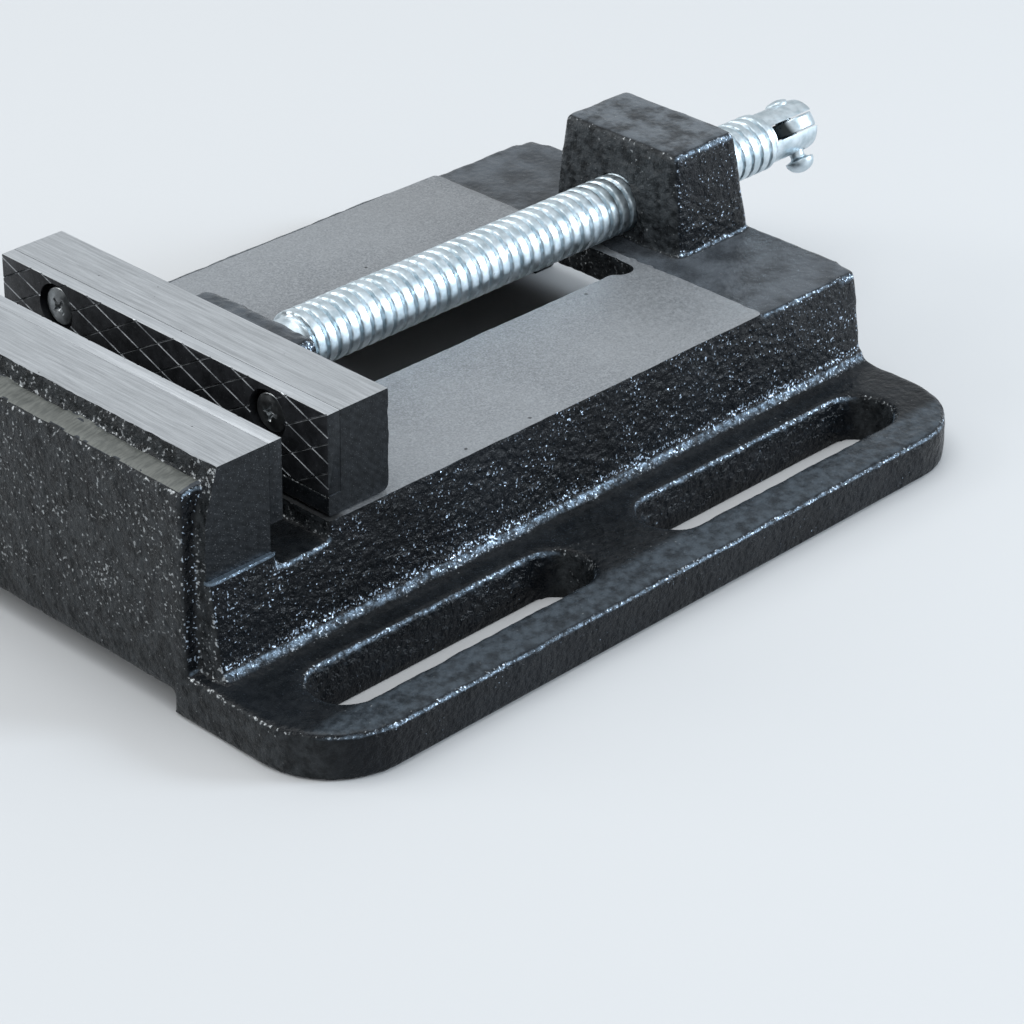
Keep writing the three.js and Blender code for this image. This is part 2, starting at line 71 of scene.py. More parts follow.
class Mat:
    """A material and short calls that add nodes to it."""

    def __init__(self, name):
        self.m = bpy.data.materials.new(name)
        self.m.use_nodes = True
        self.t = self.m.node_tree
        self.t.nodes.clear()
        self.out = self.t.nodes.new("ShaderNodeOutputMaterial")
        self.b = self.t.nodes.new("ShaderNodeBsdfPrincipled")
        self.t.links.new(self.b.outputs[0], self.out.inputs[0])
        tc = self.t.nodes.new("ShaderNodeTexCoord")
        self.mm = self.vmath("MULTIPLY", tc.outputs["Object"], (1000, 1000, 1000))

    def node(self, kind, **props):
        n = self.t.nodes.new(kind)
        for k, v in props.items():
            setattr(n, k, v)
        return n

    def put(self, socket, value):
        if isinstance(value, bpy.types.NodeSocket):
            self.t.links.new(value, socket)
        elif value is not None:
            socket.default_value = value

    def vmath(self, op, a, b=None):
        n = self.node("ShaderNodeVectorMath", operation=op)
        self.put(n.inputs[0], a)
        if b is not None:
            self.put(n.inputs[1], b)
        return n.outputs[0]

    def math(self, op, a, b=None, c=None, clamp=False):
        n = self.node("ShaderNodeMath", operation=op, use_clamp=clamp)
        self.put(n.inputs[0], a)
        if b is not None:
            self.put(n.inputs[1], b)
        if c is not None:
            self.put(n.inputs[2], c)
        return n.outputs[0]

    def noise(self, scale, detail=2.0, rough=0.5, vec=None, distortion=0.0):
        n = self.node("ShaderNodeTexNoise")
        self.put(n.inputs["Vector"], self.mm if vec is None else vec)
        n.inputs["Scale"].default_value = scale
        n.inputs["Detail"].default_value = detail
        n.inputs["Roughness"].default_value = rough
        n.inputs["Distortion"].default_value = distortion
        return n.outputs["Fac"]

    def voronoi(self, scale, feature="F1", vec=None, randomness=1.0, smooth=None):
        n = self.node("ShaderNodeTexVoronoi", feature=feature)
        self.put(n.inputs["Vector"], self.mm if vec is None else vec)
        n.inputs["Scale"].default_value = scale
        n.inputs["Randomness"].default_value = randomness
        if smooth is not None:
            n.inputs["Smoothness"].default_value = smooth
        return n

    def stretch(self, sx, sy, sz):
        return self.vmath("MULTIPLY", self.mm, (sx, sy, sz))

    def ramp(self, fac, a, b, lo=0.0, hi=1.0, smooth=True):
        """Maps fac from a..b to lo..hi, clamped."""
        n = self.node("ShaderNodeMapRange", clamp=True)
        n.interpolation_type = "SMOOTHSTEP" if smooth else "LINEAR"
        self.put(n.inputs["Value"], fac)
        self.put(n.inputs["From Min"], a)
        self.put(n.inputs["From Max"], b)
        self.put(n.inputs["To Min"], lo)
        self.put(n.inputs["To Max"], hi)
        return n.outputs["Result"]

    def mix(self, fac, a, b):
        n = self.node("ShaderNodeMix", data_type="RGBA")
        self.put(n.inputs[0], fac)
        self.put(n.inputs[6], a if isinstance(a, bpy.types.NodeSocket) else (*a, 1))
        self.put(n.inputs[7], b if isinstance(b, bpy.types.NodeSocket) else (*b, 1))
        return n.outputs[2]

    def bump(self, height, distance, strength=1.0, normal=None):
        n = self.node("ShaderNodeBump")
        self.put(n.inputs["Height"], height)
        n.inputs["Distance"].default_value = distance
        self.put(n.inputs["Strength"], strength)
        if normal is not None:
            self.put(n.inputs["Normal"], normal)
        return n.outputs["Normal"]

    def xyz(self, vec=None):
        n = self.node("ShaderNodeSeparateXYZ")
        self.put(n.inputs[0], self.mm if vec is None else vec)
        return n.outputs

    def set(self, name, value):
        self.put(self.b.inputs[name], value)


# ---- materials ----


def enamel():
    m = Mat("enamel_cast")
    g = m.node("ShaderNodeNewGeometry")
    nx, ny, nz = m.xyz(g.outputs["Normal"])
    x, y, z = m.xyz()
    flat_top = m.ramp(nz, 0.8, 0.97)
    front = m.ramp(m.math("ABSOLUTE", nx), 0.45, 0.85)
    side = m.ramp(m.math("ABSOLUTE", ny), 0.45, 0.85)
    edge = m.math("MULTIPLY", m.ramp(nz, 0.22, 0.5), m.ramp(nz, 0.93, 0.75))
    upper = m.math("MULTIPLY", flat_top, m.math("MULTIPLY", m.ramp(z, 30.5, 31.5), m.ramp(z, 54.0, 53.0)))
    crown = m.math("MULTIPLY", flat_top, m.ramp(z, 54.0, 55.5))
    # rough sand-cast skin under the paint: grains on the walls, much calmer on the level tops
    grain = m.noise(0.85, 2.0, 0.55)
    fine = m.noise(2.6, 2.0, 0.6)
    lumps = m.noise(0.2, 2.0, 0.5)
    beads = m.voronoi(0.55, "SMOOTH_F1", smooth=0.35).outputs["Distance"]
    h = m.math("MULTIPLY_ADD", grain, 1.0, m.math("MULTIPLY", fine, 0.34))
    h = m.math("MULTIPLY_ADD", lumps, 0.9, h)
    h = m.math("SUBTRACT", h, m.math("MULTIPLY", m.ramp(beads, 0.0, 0.75), 0.45))
    amount = m.ramp(flat_top, 0, 1, 1.0, 0.42, smooth=False)
    m.set("Normal", m.bump(h, 0.00044, amount))
    # painted glints: light metallic flecks on the highest grains, in loose clusters, with more of them along the wall
    # foot, the rounded rims and the upright corners where highlights fall
    clump = m.noise(0.11, 3.0, 0.65)
    clump2 = m.noise(0.5, 2.0, 0.6)
    specks = m.mix(front, m.noise(1.7, 1.0, 0.5), m.noise(1.25, 1.0, 0.5))
    foot = m.math("MULTIPLY", m.ramp(m.math("ABSOLUTE", m.math("SUBTRACT", z, 13.7)), 0.2, 1.1, 1, 0), side)
    off_foot = m.ramp(m.math("ABSOLUTE", m.math("SUBTRACT", z, 14.4)), 1.4, 2.0)
    corner = m.ramp(m.math("ABSOLUTE", m.math("MULTIPLY", nx, ny)), 0.12, 0.4)
    low = m.math("MULTIPLY", m.ramp(z, 12.2, 9.6), m.ramp(nz, 0.45, 0.25))
    nut = m.math("MULTIPLY", m.math("MULTIPLY", m.ramp(x, 49.0, 51.0), m.ramp(z, 31.0, 33.0)), front)
    level = m.math("MULTIPLY_ADD", m.math("SUBTRACT", clump, 0.5), 0.36, specks)
    level = m.math("MULTIPLY_ADD", m.math("SUBTRACT", clump2, 0.5), 0.26, level)
    level = m.math("MULTIPLY_ADD", foot, 0.135, level)
    level = m.math("MULTIPLY_ADD", m.math("MULTIPLY", edge, off_foot), 0.09, level)
    level = m.math("MULTIPLY_ADD", m.math("MULTIPLY", corner, m.ramp(z, 9.0, 12.0)), 0.08, level)
    level = m.math("MULTIPLY_ADD", front, 0.04, level)
    level = m.math("MULTIPLY_ADD", nut, -0.1, level)
    level = m.math("MULTIPLY_ADD", low, -0.09, level)
    level = m.math("MULTIPLY_ADD", flat_top, -0.1, level)
    # painted glints: the fleck mask
    glint_fleck = m.ramp(level, 0.665, 0.80)
    tone = m.noise(0.035, 3.0, 0.6)
    mottle = m.noise(0.42, 3.0, 0.6)
    dark = m.mix(m.ramp(tone, 0.3, 0.7), (0.0028, 0.0037, 0.0050), (0.0066, 0.0084, 0.0110))
    # painted light: lighter grey used where light falls on the enamel
    lit_grey = m.mix(m.ramp(mottle, 0.34, 0.66), (0.009, 0.0105, 0.0115), (0.031, 0.035, 0.038))
    # painted light: faces turned along X mixed toward a lighter grey, level tops a little, for the light falling on
    # them
    col = m.mix(m.math("MULTIPLY", front, 0.85), dark, lit_grey)
    col = m.mix(m.math("MULTIPLY", flat_top, 0.25), col, lit_grey)
    # painted light: the nut block's front face lighter and mottled where the front light falls
    col = m.mix(m.math("MULTIPLY", nut, m.ramp(mottle, 0.34, 0.66, 0.1, 0.7)), col, (0.062, 0.069, 0.075))
    # painted reflection of the bright surroundings on the level tops: deck and nut block most, a strip along the
    # flange's outer edge less
    col = m.mix(m.math("MULTIPLY", upper, m.ramp(m.noise(0.12, 3.0, 0.6), 0.35, 0.65, 0.35, 0.85)), col, (0.088, 0.1, 0.114))
    col = m.mix(m.math("MULTIPLY", crown, m.ramp(m.noise(0.16, 4.0, 0.65), 0.34, 0.62, 0.15, 0.9)), col, (0.112, 0.127, 0.143))
    strip = m.math("MULTIPLY", m.ramp(m.math("ABSOLUTE", y), 76.5, 79.5), m.math("MULTIPLY", flat_top, m.ramp(z, 12.5, 11.5)))
    col = m.mix(m.math("MULTIPLY", strip, m.ramp(mottle, 0.3, 0.7, 0.2, 0.8)), col, (0.062, 0.078, 0.094))
    # painted highlight line where the machined flank of the fixed jaw ends on the casting
    line = m.math("MULTIPLY", m.ramp(m.math("ABSOLUTE", m.math("SUBTRACT", z, 31.45)), 0.22, 0.5, 1, 0), m.ramp(x, -98.6, -99.6))
    line = m.math("MULTIPLY", line, m.ramp(m.math("ABSOLUTE", y), 49.6, 50.0))
    line = m.math("MULTIPLY", line, m.ramp(mottle, 0.3, 0.5, 0.35, 1.0))
    # painted highlight along the rounded top rims of the walls, in broken stretches, bluish-white like the light
    rim = m.math("MULTIPLY", m.math("MULTIPLY", m.math("MULTIPLY", edge, side), off_foot), m.ramp(m.noise(0.7, 2.0, 0.6), 0.36, 0.62, 0.1, 0.75))
    painted_edge_highlight = m.math("MAXIMUM", rim, line)
    col = m.mix(painted_edge_highlight, col, (0.17, 0.225, 0.285))
    # painted glints: the flecks take a bluer tint on the side faces lit by the cool key light
    bright = m.mix(side, (0.34, 0.357, 0.368), (0.50, 0.61, 0.75))
    col = m.mix(glint_fleck, col, bright)
    m.set("Base Color", col)
    m.set("Metallic", m.math("MULTIPLY", m.math("MAXIMUM", glint_fleck, painted_edge_highlight), 0.75))
    m.set("Roughness", m.ramp(m.noise(0.5, 2.0, 0.6), 0.25, 0.75, 0.18, 0.36))
    m.b.inputs["IOR"].default_value = 1.25
    return m.m


def ledge_paint():
    """Paint worn thin on the sloping ledge of the fixed jaw."""
    m = Mat("worn_ledge")
    streak = m.noise(1.0, 2.0, 0.6, vec=m.stretch(0.25, 1.5, 1.2))
    n = m.noise(0.9, 2.0, 0.6)
    col = m.mix(m.ramp(streak, 0.3, 0.7), (0.095, 0.102, 0.096), (0.155, 0.162, 0.15))
    m.set("Base Color", col)
    m.b.inputs["Metallic"].default_value = 0.25
    m.set("Roughness", m.ramp(n, 0.3, 0.7, 0.34, 0.5))
    m.set("Normal", m.bump(m.math("ADD", n, m.math("MULTIPLY", streak, 0.2)), 0.0001, 0.5))
    return m.m


def ground_ways():
    m = Mat("ground_iron")
    fine = m.noise(2.4, 3.0, 0.7)
    med = m.noise(0.55, 2.0, 0.5)
    broad = m.noise(0.03, 2.0, 0.5)
    scratch = m.noise(1.0, 2.0, 0.5, vec=m.stretch(0.12, 2.6, 1.0))
    v = m.voronoi(0.16, "F1")
    pit_pos = v.outputs["Distance"]
    pick = m.node("ShaderNodeSeparateColor")
    m.put(pick.inputs[0], v.outputs["Color"])
    warp = m.noise(1.1, 2.0, 0.6)
    d = m.math("ADD", pit_pos, m.math("MULTIPLY", warp, 0.12))
    pit = m.math("MULTIPLY", m.ramp(d, 0.105, 0.15, 1, 0), m.ramp(pick.outputs[0], 0.80, 0.82))
    col = m.mix(m.ramp(fine, 0.3, 0.7), (0.165, 0.177, 0.19), (0.36, 0.377, 0.397))
    col = m.mix(m.ramp(med, 0.35, 0.7, 0, 0.45), col, (0.24, 0.252, 0.265))
    col = m.mix(m.ramp(broad, 0.35, 0.65, 0.0, 0.3), col, (0.35, 0.365, 0.38))
    col = m.mix(m.ramp(scratch, 0.6, 0.8, 0, 0.25), col, (0.36, 0.375, 0.39))
    col = m.mix(m.math("MULTIPLY", pit, 0.85), col, (0.025, 0.027, 0.03))
    # painted shade: darker towards the front end of the ways, beneath and in front of the moving jaw
    wx = m.math("MULTIPLY_ADD", m.math("SUBTRACT", med, 0.5), 4.0, m.xyz()[0])
    col = m.mix(m.ramp(wx, -79.5, -83.0, 0, 0.9), col, (0.02, 0.021, 0.022))
    m.set("Base Color", col)
    m.b.inputs["Metallic"].default_value = 0.55
    m.set("Roughness", m.ramp(m.noise(0.8, 2.0), 0.3, 0.7, 0.44, 0.56))
    h = m.math("SUBTRACT", m.math("MULTIPLY", fine, 0.25), pit)
    m.set("Normal", m.bump(h, 0.00006, 0.6))
    return m.m


def ground_top(name, lo=(0.33, 0.345, 0.36), hi=(0.54, 0.56, 0.58), specks=True):
    """Surface-ground steel or iron with the grinding marks along Y."""
    m = Mat(name)
    s1 = m.noise(1.0, 3.0, 0.7, vec=m.stretch(5.5, 0.1, 3.0))
    s2 = m.noise(1.0, 2.0, 0.6, vec=m.stretch(1.6, 0.045, 1.0))
    fine = m.noise(3.0, 2.0, 0.6)
    t = m.math("MULTIPLY_ADD", s1, 0.6, m.math("MULTIPLY", s2, 0.3))
    t = m.math("MULTIPLY_ADD", fine, 0.1, t)
    col = m.mix(m.ramp(t, 0.32, 0.66), lo, hi)
    h = m.math("MULTIPLY", s1, 0.5)
    if specks:
        v = m.voronoi(0.32, "F1")
        pick = m.node("ShaderNodeSeparateColor")
        m.put(pick.inputs[0], v.outputs["Color"])
        d = m.math("ADD", v.outputs["Distance"], m.math("MULTIPLY", m.noise(2.2, 1.0), 0.12))
        pit = m.math("MULTIPLY", m.ramp(d, 0.10, 0.15, 1, 0), m.ramp(pick.outputs[1], 0.86, 0.88))
        col = m.mix(m.math("MULTIPLY", pit, 0.8), col, (0.04, 0.042, 0.045))
        h = m.math("SUBTRACT", h, pit)
    m.set("Base Color", col)
    m.b.inputs["Metallic"].default_value = 0.8
    m.set("Roughness", m.ramp(s1, 0.3, 0.7, 0.36, 0.5))
    m.set("Normal", m.bump(h, 0.00003, 0.5))
    return m.m


def dark_side():
    """Machined iron faces of the jaws with thin black paint over the milling arcs."""
    m = Mat("painted_machined_side")
    x, y, z = m.xyz()
    # milling arcs: rings about a point far below, wobbling a little
    dx = m.math("ADD", x, 150.0)
    dz = m.math("ADD", z, 40.0)
    rr = m.math("SQRT", m.math("ADD", m.math("POWER", dx, 2.0), m.math("POWER", dz, 2.0)))
    arcs = m.math("SINE", m.math("MULTIPLY_ADD", m.noise(0.12, 2.0), 9.0, m.math("MULTIPLY", rr, 4.2)))
    fine = m.noise(2.2, 2.0, 0.6)
    g = m.noise(0.6, 2.0, 0.6)
    col = m.mix(m.ramp(g, 0.3, 0.7), (0.006, 0.0075, 0.0092), (0.015, 0.0175, 0.0205))
    # painted glints: sparse light specks in the colour
    spark = m.ramp(m.noise(3.4, 1.0), 0.66, 0.74)
    col = m.mix(m.math("MULTIPLY", spark, 0.55), col, (0.16, 0.17, 0.18))
    m.set("Base Color", col)
    m.b.inputs["Metallic"].default_value = 0.25
    m.b.inputs["IOR"].default_value = 1.3
    m.set("Roughness", m.ramp(fine, 0.3, 0.7, 0.3, 0.44))
    h = m.math("MULTIPLY_ADD", arcs, 0.2, m.math("MULTIPLY", fine, 0.6))
    m.set("Normal", m.bump(h, 0.00007, 0.8))
    return m.m


def plate_face():
    m = Mat("blackened_plate")
    fine = m.noise(2.4, 2.0, 0.6)
    g = m.noise(0.35, 2.0, 0.6)
    col = m.mix(m.ramp(g, 0.3, 0.7), (0.012, 0.013, 0.015), (0.03, 0.032, 0.036))
    # painted glints: sparse light specks in the colour
    spark = m.ramp(m.noise(2.6, 2.0, 0.7), 0.66, 0.75)
    col = m.mix(m.math("MULTIPLY", spark, 0.6), col, (0.2, 0.21, 0.22))
    m.set("Base Color", col)
    m.b.inputs["Metallic"].default_value = 0.25
    m.b.inputs["IOR"].default_value = 1.36
    m.set("Roughness", m.ramp(fine, 0.3, 0.7, 0.38, 0.52))
    m.set("Normal", m.bump(fine, 0.00007, 0.7))
    return m.m


def scribed():
    m = Mat("scribed_steel")
    n = m.noise(0.28, 3.0, 0.65)
    col = m.mix(m.ramp(n, 0.36, 0.64), (0.055, 0.06, 0.066), (0.25, 0.262, 0.276))
    m.set("Base Color", col)
    m.b.inputs["Metallic"].default_value = 0.7
    m.set("Roughness", m.ramp(n, 0.3, 0.7, 0.3, 0.48))
    m.set("Normal", m.bump(n, 0.00003, 0.5))
    return m.m


def zinc(name="bright_zinc", lo=(0.46, 0.545, 0.59), hi=(0.72, 0.80, 0.85), r0=0.32, r1=0.48, specks=0.9, fork_root_shade=False):
    m = Mat(name)
    cloud = m.noise(0.28, 3.0, 0.6)
    fine = m.noise(2.4, 2.0, 0.6)
    col = m.mix(m.ramp(cloud, 0.3, 0.7), lo, hi)
    v = m.voronoi(0.42, "F1")
    pick = m.node("ShaderNodeSeparateColor")
    m.put(pick.inputs[0], v.outputs["Color"])
    d = m.math("ADD", v.outputs["Distance"], m.math("MULTIPLY", m.noise(2.2, 1.0), 0.14))
    pit = m.math("MULTIPLY", m.ramp(d, 0.12, 0.18, 1, 0), m.ramp(pick.outputs[2], specks, specks + 0.02))
    col = m.mix(m.math("MULTIPLY", pit, 0.85), col, (0.05, 0.055, 0.06))
    if fork_root_shade:  # painted shade: darker on the side of the eye that lies in the root of the fork
        xx, yy, zz = m.xyz()
        near = m.ramp(m.math("ADD", m.math("ABSOLUTE", yy), m.math("ABSOLUTE", m.math("SUBTRACT", zz, 40.0))), 8.5, 7.0)
        root_shade = m.math("MULTIPLY", m.ramp(xx, 110.6, 109.4), near)
        col = m.mix(m.math("MULTIPLY", root_shade, 0.95), col, (0.012, 0.016, 0.014))
    m.set("Base Color", col)
    m.b.inputs["Metallic"].default_value = 1.0
    m.set("Roughness", m.ramp(m.noise(0.7, 2.0, 0.6), 0.3, 0.7, r0, r1))
    h = m.math("SUBTRACT", m.math("MULTIPLY_ADD", fine, 0.35, m.math("MULTIPLY", cloud, 0.5)), pit)
    m.set("Normal", m.bump(h, 0.00005, 0.55))
    return m.m


def dark_steel():
    m = Mat("black_oxide_steel")
    n = m.noise(1.4, 3.0, 0.6)
    s = m.noise(1.0, 2.0, 0.6, vec=m.stretch(0.2, 3.0, 1.0))
    col = m.mix(m.ramp(n, 0.3, 0.7), (0.018, 0.019, 0.021), (0.045, 0.047, 0.05))
    m.set("Base Color", col)
    m.b.inputs["Metallic"].default_value = 0.85
    m.set("Roughness", m.ramp(s, 0.3, 0.7, 0.36, 0.52))
    m.set("Normal", m.bump(m.math("ADD", n, s), 0.00004, 0.6))
    return m.m


M_ENAMEL = enamel()
M_LEDGE = ledge_paint()
M_WAYS = ground_ways()
M_TOP = ground_top("ground_jaw_top")
M_STRIP = ground_top("ground_plate_edge", (0.42, 0.44, 0.46), (0.60, 0.62, 0.64), specks=False)
M_SIDE = dark_side()
M_PLATE = plate_face()
M_SCRIBED = scribed()
M_ZINC = zinc()
M_LEVER = zinc("zinc_shaded_in_fork", fork_root_shade=True)
M_GUN = zinc("dark_zinc", (0.24, 0.26, 0.27), (0.44, 0.46, 0.47), 0.3, 0.45, 0.95)
M_DARK = dark_steel()

# ---- mesh helpers (millimetres in, metres out) ----
rng = np.random.default_rng(7)


def new_object(name, verts, faces, mats, smooth=None):
    me = bpy.data.meshes.new(name)
    me.from_pydata([tuple(v) for v in verts], [], [tuple(f) for f in faces])
    me.update()
    o = bpy.data.objects.new(name, me)
    bpy.context.scene.collection.objects.link(o)
    for mt in mats:
        me.materials.append(mt)
    if smooth is not None:
        shade(o, smooth)
    return o


def shade(o, degrees):
    me = o.data
    me.polygons.foreach_set("use_smooth", np.ones(len(me.polygons), bool))
    me.set_sharp_from_angle(angle=math.radians(degrees))
    me.update()


def copy_of(node, name):
    me = nodes[node].data.copy()
    me.name = name
    me.materials.clear()
    o = bpy.data.objects.new(name, me)
    bpy.context.scene.collection.objects.link(o)
    bm = bmesh.new()
    bm.from_mesh(me)
    bmesh.ops.remove_doubles(bm, verts=bm.verts, dist=2e-6)
    bm.to_mesh(me)
    bm.free()
    return o


def apply(o):
    """Applies every modifier of o."""
    dg = bpy.context.evaluated_depsgraph_get()
    dg.update()
    me = bpy.data.meshes.new_from_object(o.evaluated_get(dg), preserve_all_data_layers=True, depsgraph=dg)
    o.modifiers.clear()
    old = o.data
    name = old.name
    o.data = me
    bpy.data.meshes.remove(old)
    me.name = name
    return o


def boolean(o, tool, op="DIFFERENCE", solver="MANIFOLD", keep=False):
    md = o.modifiers.new("cut", "BOOLEAN")
    md.operation = op
    md.object = tool
    try:
        md.solver = solver
    except TypeError:
        md.solver = "EXACT"
    apply(o)
    if not keep:
        bpy.data.objects.remove(tool)
    return o


def grid_solid(name, rings, mats, close=True):
    """Closed body through rings of equal length, with a point or a fan at both ends."""
    n = len(rings[0])
    verts = [p for r in rings for p in r]
    faces = []
    for i in range(len(rings) - 1):
        a, b = i * n, (i + 1) * n
        for j in range(n):
            k = (j + 1) % n
            faces.append((a + j, a + k, b + k, b + j))
    c0 = np.mean(rings[0], axis=0)
    c1 = np.mean(rings[-1], axis=0)
    verts += [c0, c1]
    i0, i1 = len(verts) - 2, len(verts) - 1
    last = (len(rings) - 1) * n
    for j in range(n):
        k = (j + 1) % n
        faces.append((i0, k, j))
        faces.append((i1, last + j, last + k))
    return new_object(name, np.array(verts) * MM, faces, mats)


def lathe_x(name, profile, mats, segs=64, y=0.0, z=0.0, flip=False):
    """Profile of (x, r) pairs turned about the X axis through (y, z)."""
    rings = []
    for x, r in profile:
        r = max(r, 0.002)
        rings.append([
            (x, y + r * math.cos(2 * math.pi * j / segs), z + r * math.sin(2 * math.pi * j / segs))
            for j in range(segs)
        ])
    o = grid_solid(name, rings, mats)
    fix_normals(o)
    return o


def fix_normals(o):
    bm = bmesh.new()
    bm.from_mesh(o.data)
    bmesh.ops.recalc_face_normals(bm, faces=bm.faces)
    bm.to_mesh(o.data)
    bm.free()


def box_object(x0, x1, y0, y1, z0, z1, mats=()):
    v = [(x, y, z) for x in (x0, x1) for y in (y0, y1) for z in (z0, z1)]
    f = [(0, 1, 3, 2), (4, 6, 7, 5), (0, 4, 5, 1), (2, 3, 7, 6), (0, 2, 6, 4), (1, 5, 7, 3)]
    o = new_object("tool", np.array(v) * MM, f, list(mats))
    fix_normals(o)
    return o


def bevel(o, width, angle=35, segments=2, harden=False):
    md = o.modifiers.new("edge", "BEVEL")
    md.width = width * MM
    md.segments = segments
    md.limit_method = "ANGLE"
    md.angle_limit = math.radians(angle)
    md.use_clamp_overlap = True
    return apply(o)


def coords(me):
    a = np.empty(len(me.vertices) * 3, np.float32)
    me.vertices.foreach_get("co", a)
    return a.reshape(-1, 3).astype(np.float64) / MM


def set_coords(me, c):
    me.vertices.foreach_set("co", (c * MM).astype(np.float32).ravel())
    me.update()


def relax(c, edges, weight, steps, lam=0.5):
    n = len(c)
    a, b = edges[:, 0], edges[:, 1]
    deg = np.bincount(a, minlength=n) + np.bincount(b, minlength=n)
    deg = np.maximum(deg, 1)
    for _ in range(steps):
        s = np.stack(
            [np.bincount(a, c[b, k], n) + np.bincount(b, c[a, k], n) for k in range(3)], 1
        ) / deg[:, None]
        c = c + (s - c) * (lam * weight)[:, None]
    return c


def edges_of(me):
    e = np.empty(len(me.edges) * 2, np.int32)
    me.edges.foreach_get("vertices", e)
    return e.reshape(-1, 2)


def smoothstep(x, a, b):
    t = np.clip((x - a) / (b - a), 0, 1)
    return t * t * (3 - 2 * t)


def lattice_noise(p, wavelength, seed):
    """Smooth value noise in -1..1 at points p, made on a random lattice."""
    size = 64
    table = np.random.default_rng(seed).uniform(-1, 1, (size, size, size)).astype(np.float32)
    q = p / wavelength + 1000.5
    i = np.floor(q).astype(np.int64)
    f = q - i
    f = f * f * (3 - 2 * f)
    i %= size
    j = (i + 1) % size
    out = 0
    for dx in (0, 1):
        for dy in (0, 1):
            for dz in (0, 1):
                w = (
                    (f[:, 0] if dx else 1 - f[:, 0])
                    * (f[:, 1] if dy else 1 - f[:, 1])
                    * (f[:, 2] if dz else 1 - f[:, 2])
                )
                out = out + w * table[
                    (j if dx else i)[:, 0], (j if dy else i)[:, 1], (j if dz else i)[:, 2]
                ]
    return out


def remesh(o, voxel):
    md = o.modifiers.new("skin", "REMESH")
    md.mode = "VOXEL"
    md.voxel_size = voxel * MM
    md.adaptivity = 0.0
    return apply(o)


def decimate(o, target):
    tris = sum(len(p.vertices) - 2 for p in o.data.polygons)
    if tris <= target:
        return o
    md = o.modifiers.new("thin", "DECIMATE")
    md.ratio = target / tris
    return apply(o)


def vertex_normals(me):
    a = np.empty(len(me.vertices) * 3, np.float32)
    me.vertices.foreach_get("normal", a)
    return a.reshape(-1, 3).astype(np.float64)


def face_data(me):
    n = len(me.polygons)
    nor = np.empty(n * 3, np.float32)
    cen = np.empty(n * 3, np.float32)
    me.polygons.foreach_get("normal", nor)
    me.polygons.foreach_get("center", cen)
    return nor.reshape(-1, 3), cen.reshape(-1, 3) / MM


# ---- base casting ----
WAYS_TOP, FIXED_TOP, JAW_HALF = 32.7, 55.6, 50.1
WAYS_X0, WAYS_X1 = -85.2, 44.9
FIXED_BACK, FIXED_CORE = -99.8, -116.7
NUT_C = np.array([64.0, 0.0])


